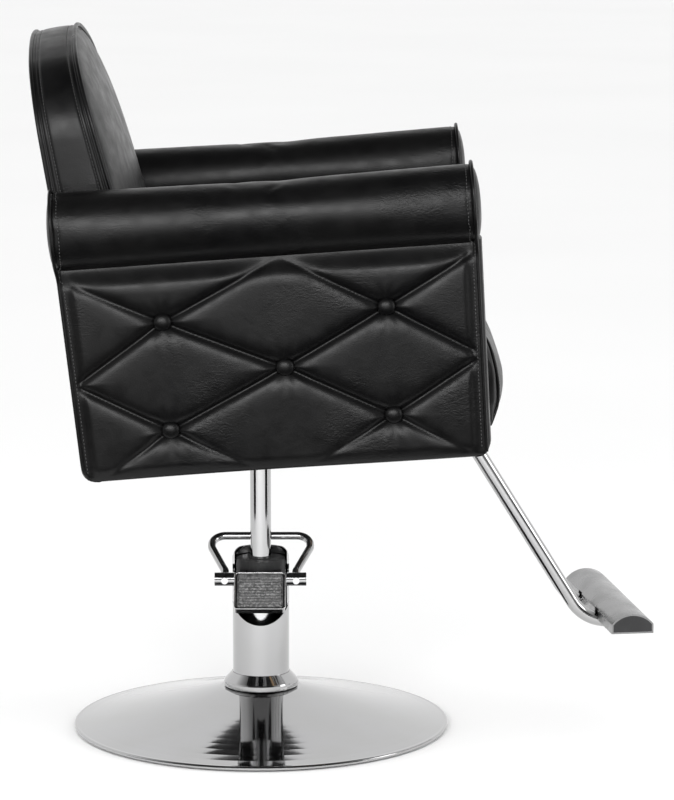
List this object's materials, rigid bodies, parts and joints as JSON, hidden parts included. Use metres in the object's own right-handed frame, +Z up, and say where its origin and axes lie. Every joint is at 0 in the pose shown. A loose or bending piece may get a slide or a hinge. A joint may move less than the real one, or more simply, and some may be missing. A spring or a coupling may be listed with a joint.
{
  "type": "salon styling chair",
  "caption": "Upholstered salon styling armchair with tufted sides on a hydraulic pump, with a swivel, a foot pedal, a footrest and a round chrome base.",
  "frame": {"origin": "on the floor, on the pump's vertical axis", "axes": "+Z up, the chair faces -Y, +X towards the sitter's left"},
  "size_m": [0.676, 0.8996, 1.0468],
  "materials": {
    "chrome": "polished",
    "chrome_tube": "polished",
    "black_rubber": "matte",
    "cast_iron": "matte",
    "dark_steel": "satin",
    "bright_steel": "satin",
    "black_plastic": "satin",
    "bronze": "satin",
    "pedal_grip": "satin",
    "plywood": "matte",
    "softwood": "matte",
    "under_cloth": "matte",
    "black_leatherette": "satin",
    "leatherette_trim": "satin"
  },
  "bodies": {
    "base": {"base_dish": "chrome", "floor_gasket": "black_rubber", "ballast_ring": "cast_iron", "collar_ring": "chrome", "pump_cover": "chrome", "pump_flange": "dark_steel", "flange_bolts": "bright_steel", "pump_tank": "bright_steel", "ram_cylinder": "bright_steel", "pump_head": "black_plastic", "guide_bush": "bronze", "wiper_seal": "black_rubber"},
    "lever": {"cross_shaft": "chrome", "pedal_arm": "dark_steel", "pedal_plate": "chrome", "pedal_tread": "pedal_grip", "loop_bar": "chrome", "lever_bolts": "bright_steel"},
    "lift": {"lift_piston": "bright_steel", "piston_seal": "black_rubber", "thrust_washer": "bronze"},
    "seat": {"footrest_tread": "chrome", "ram_rod": "chrome", "footrest_tubes": "chrome_tube", "hub_socket": "dark_steel", "seat_plate": "dark_steel", "footrest_bracket": "dark_steel", "plate_bolts": "bright_steel", "seat_springs": "bright_steel", "arm_bolts": "bright_steel", "tread_screws": "bright_steel", "footrest_bolts": "bright_steel", "tread_end_caps": "black_plastic", "seat_deck": "plywood", "back_board": "plywood", "front_rail": "softwood", "rear_rail": "softwood", "side_rails": "softwood", "back_posts": "softwood", "right_arm_frame": "softwood", "left_arm_frame": "softwood", "under_cover": "under_cloth", "seat_cushion": "black_leatherette", "back_shell": "black_leatherette", "back_cushion": "black_leatherette", "right_side_panel": "black_leatherette", "left_side_panel": "black_leatherette", "right_arm_roll": "black_leatherette", "left_arm_roll": "black_leatherette", "right_buttons": "leatherette_trim", "left_buttons": "leatherette_trim", "right_roll_welts": "leatherette_trim", "left_roll_welts": "leatherette_trim"}
  },
  "joints": [
    {"name": "lever_turn", "type": "hinge", "parent": "base", "child": "lever", "pos_m": [-0.032, 0, 0.229], "axis": [0, -1, 0], "range_deg": [0, 14], "stiffness_Nm_per_rad": 6, "springref_deg": -20.05},
    {"name": "seat_lift", "type": "slide", "parent": "base", "child": "lift", "axis": [0, 0, 1], "range_m": [-0.135, 0.012]},
    {"name": "seat_swivel", "type": "hinge", "parent": "lift", "child": "seat", "pos_m": [0, 0, 0.3], "axis": [0, 0, 1], "continuous": true}
  ]
}
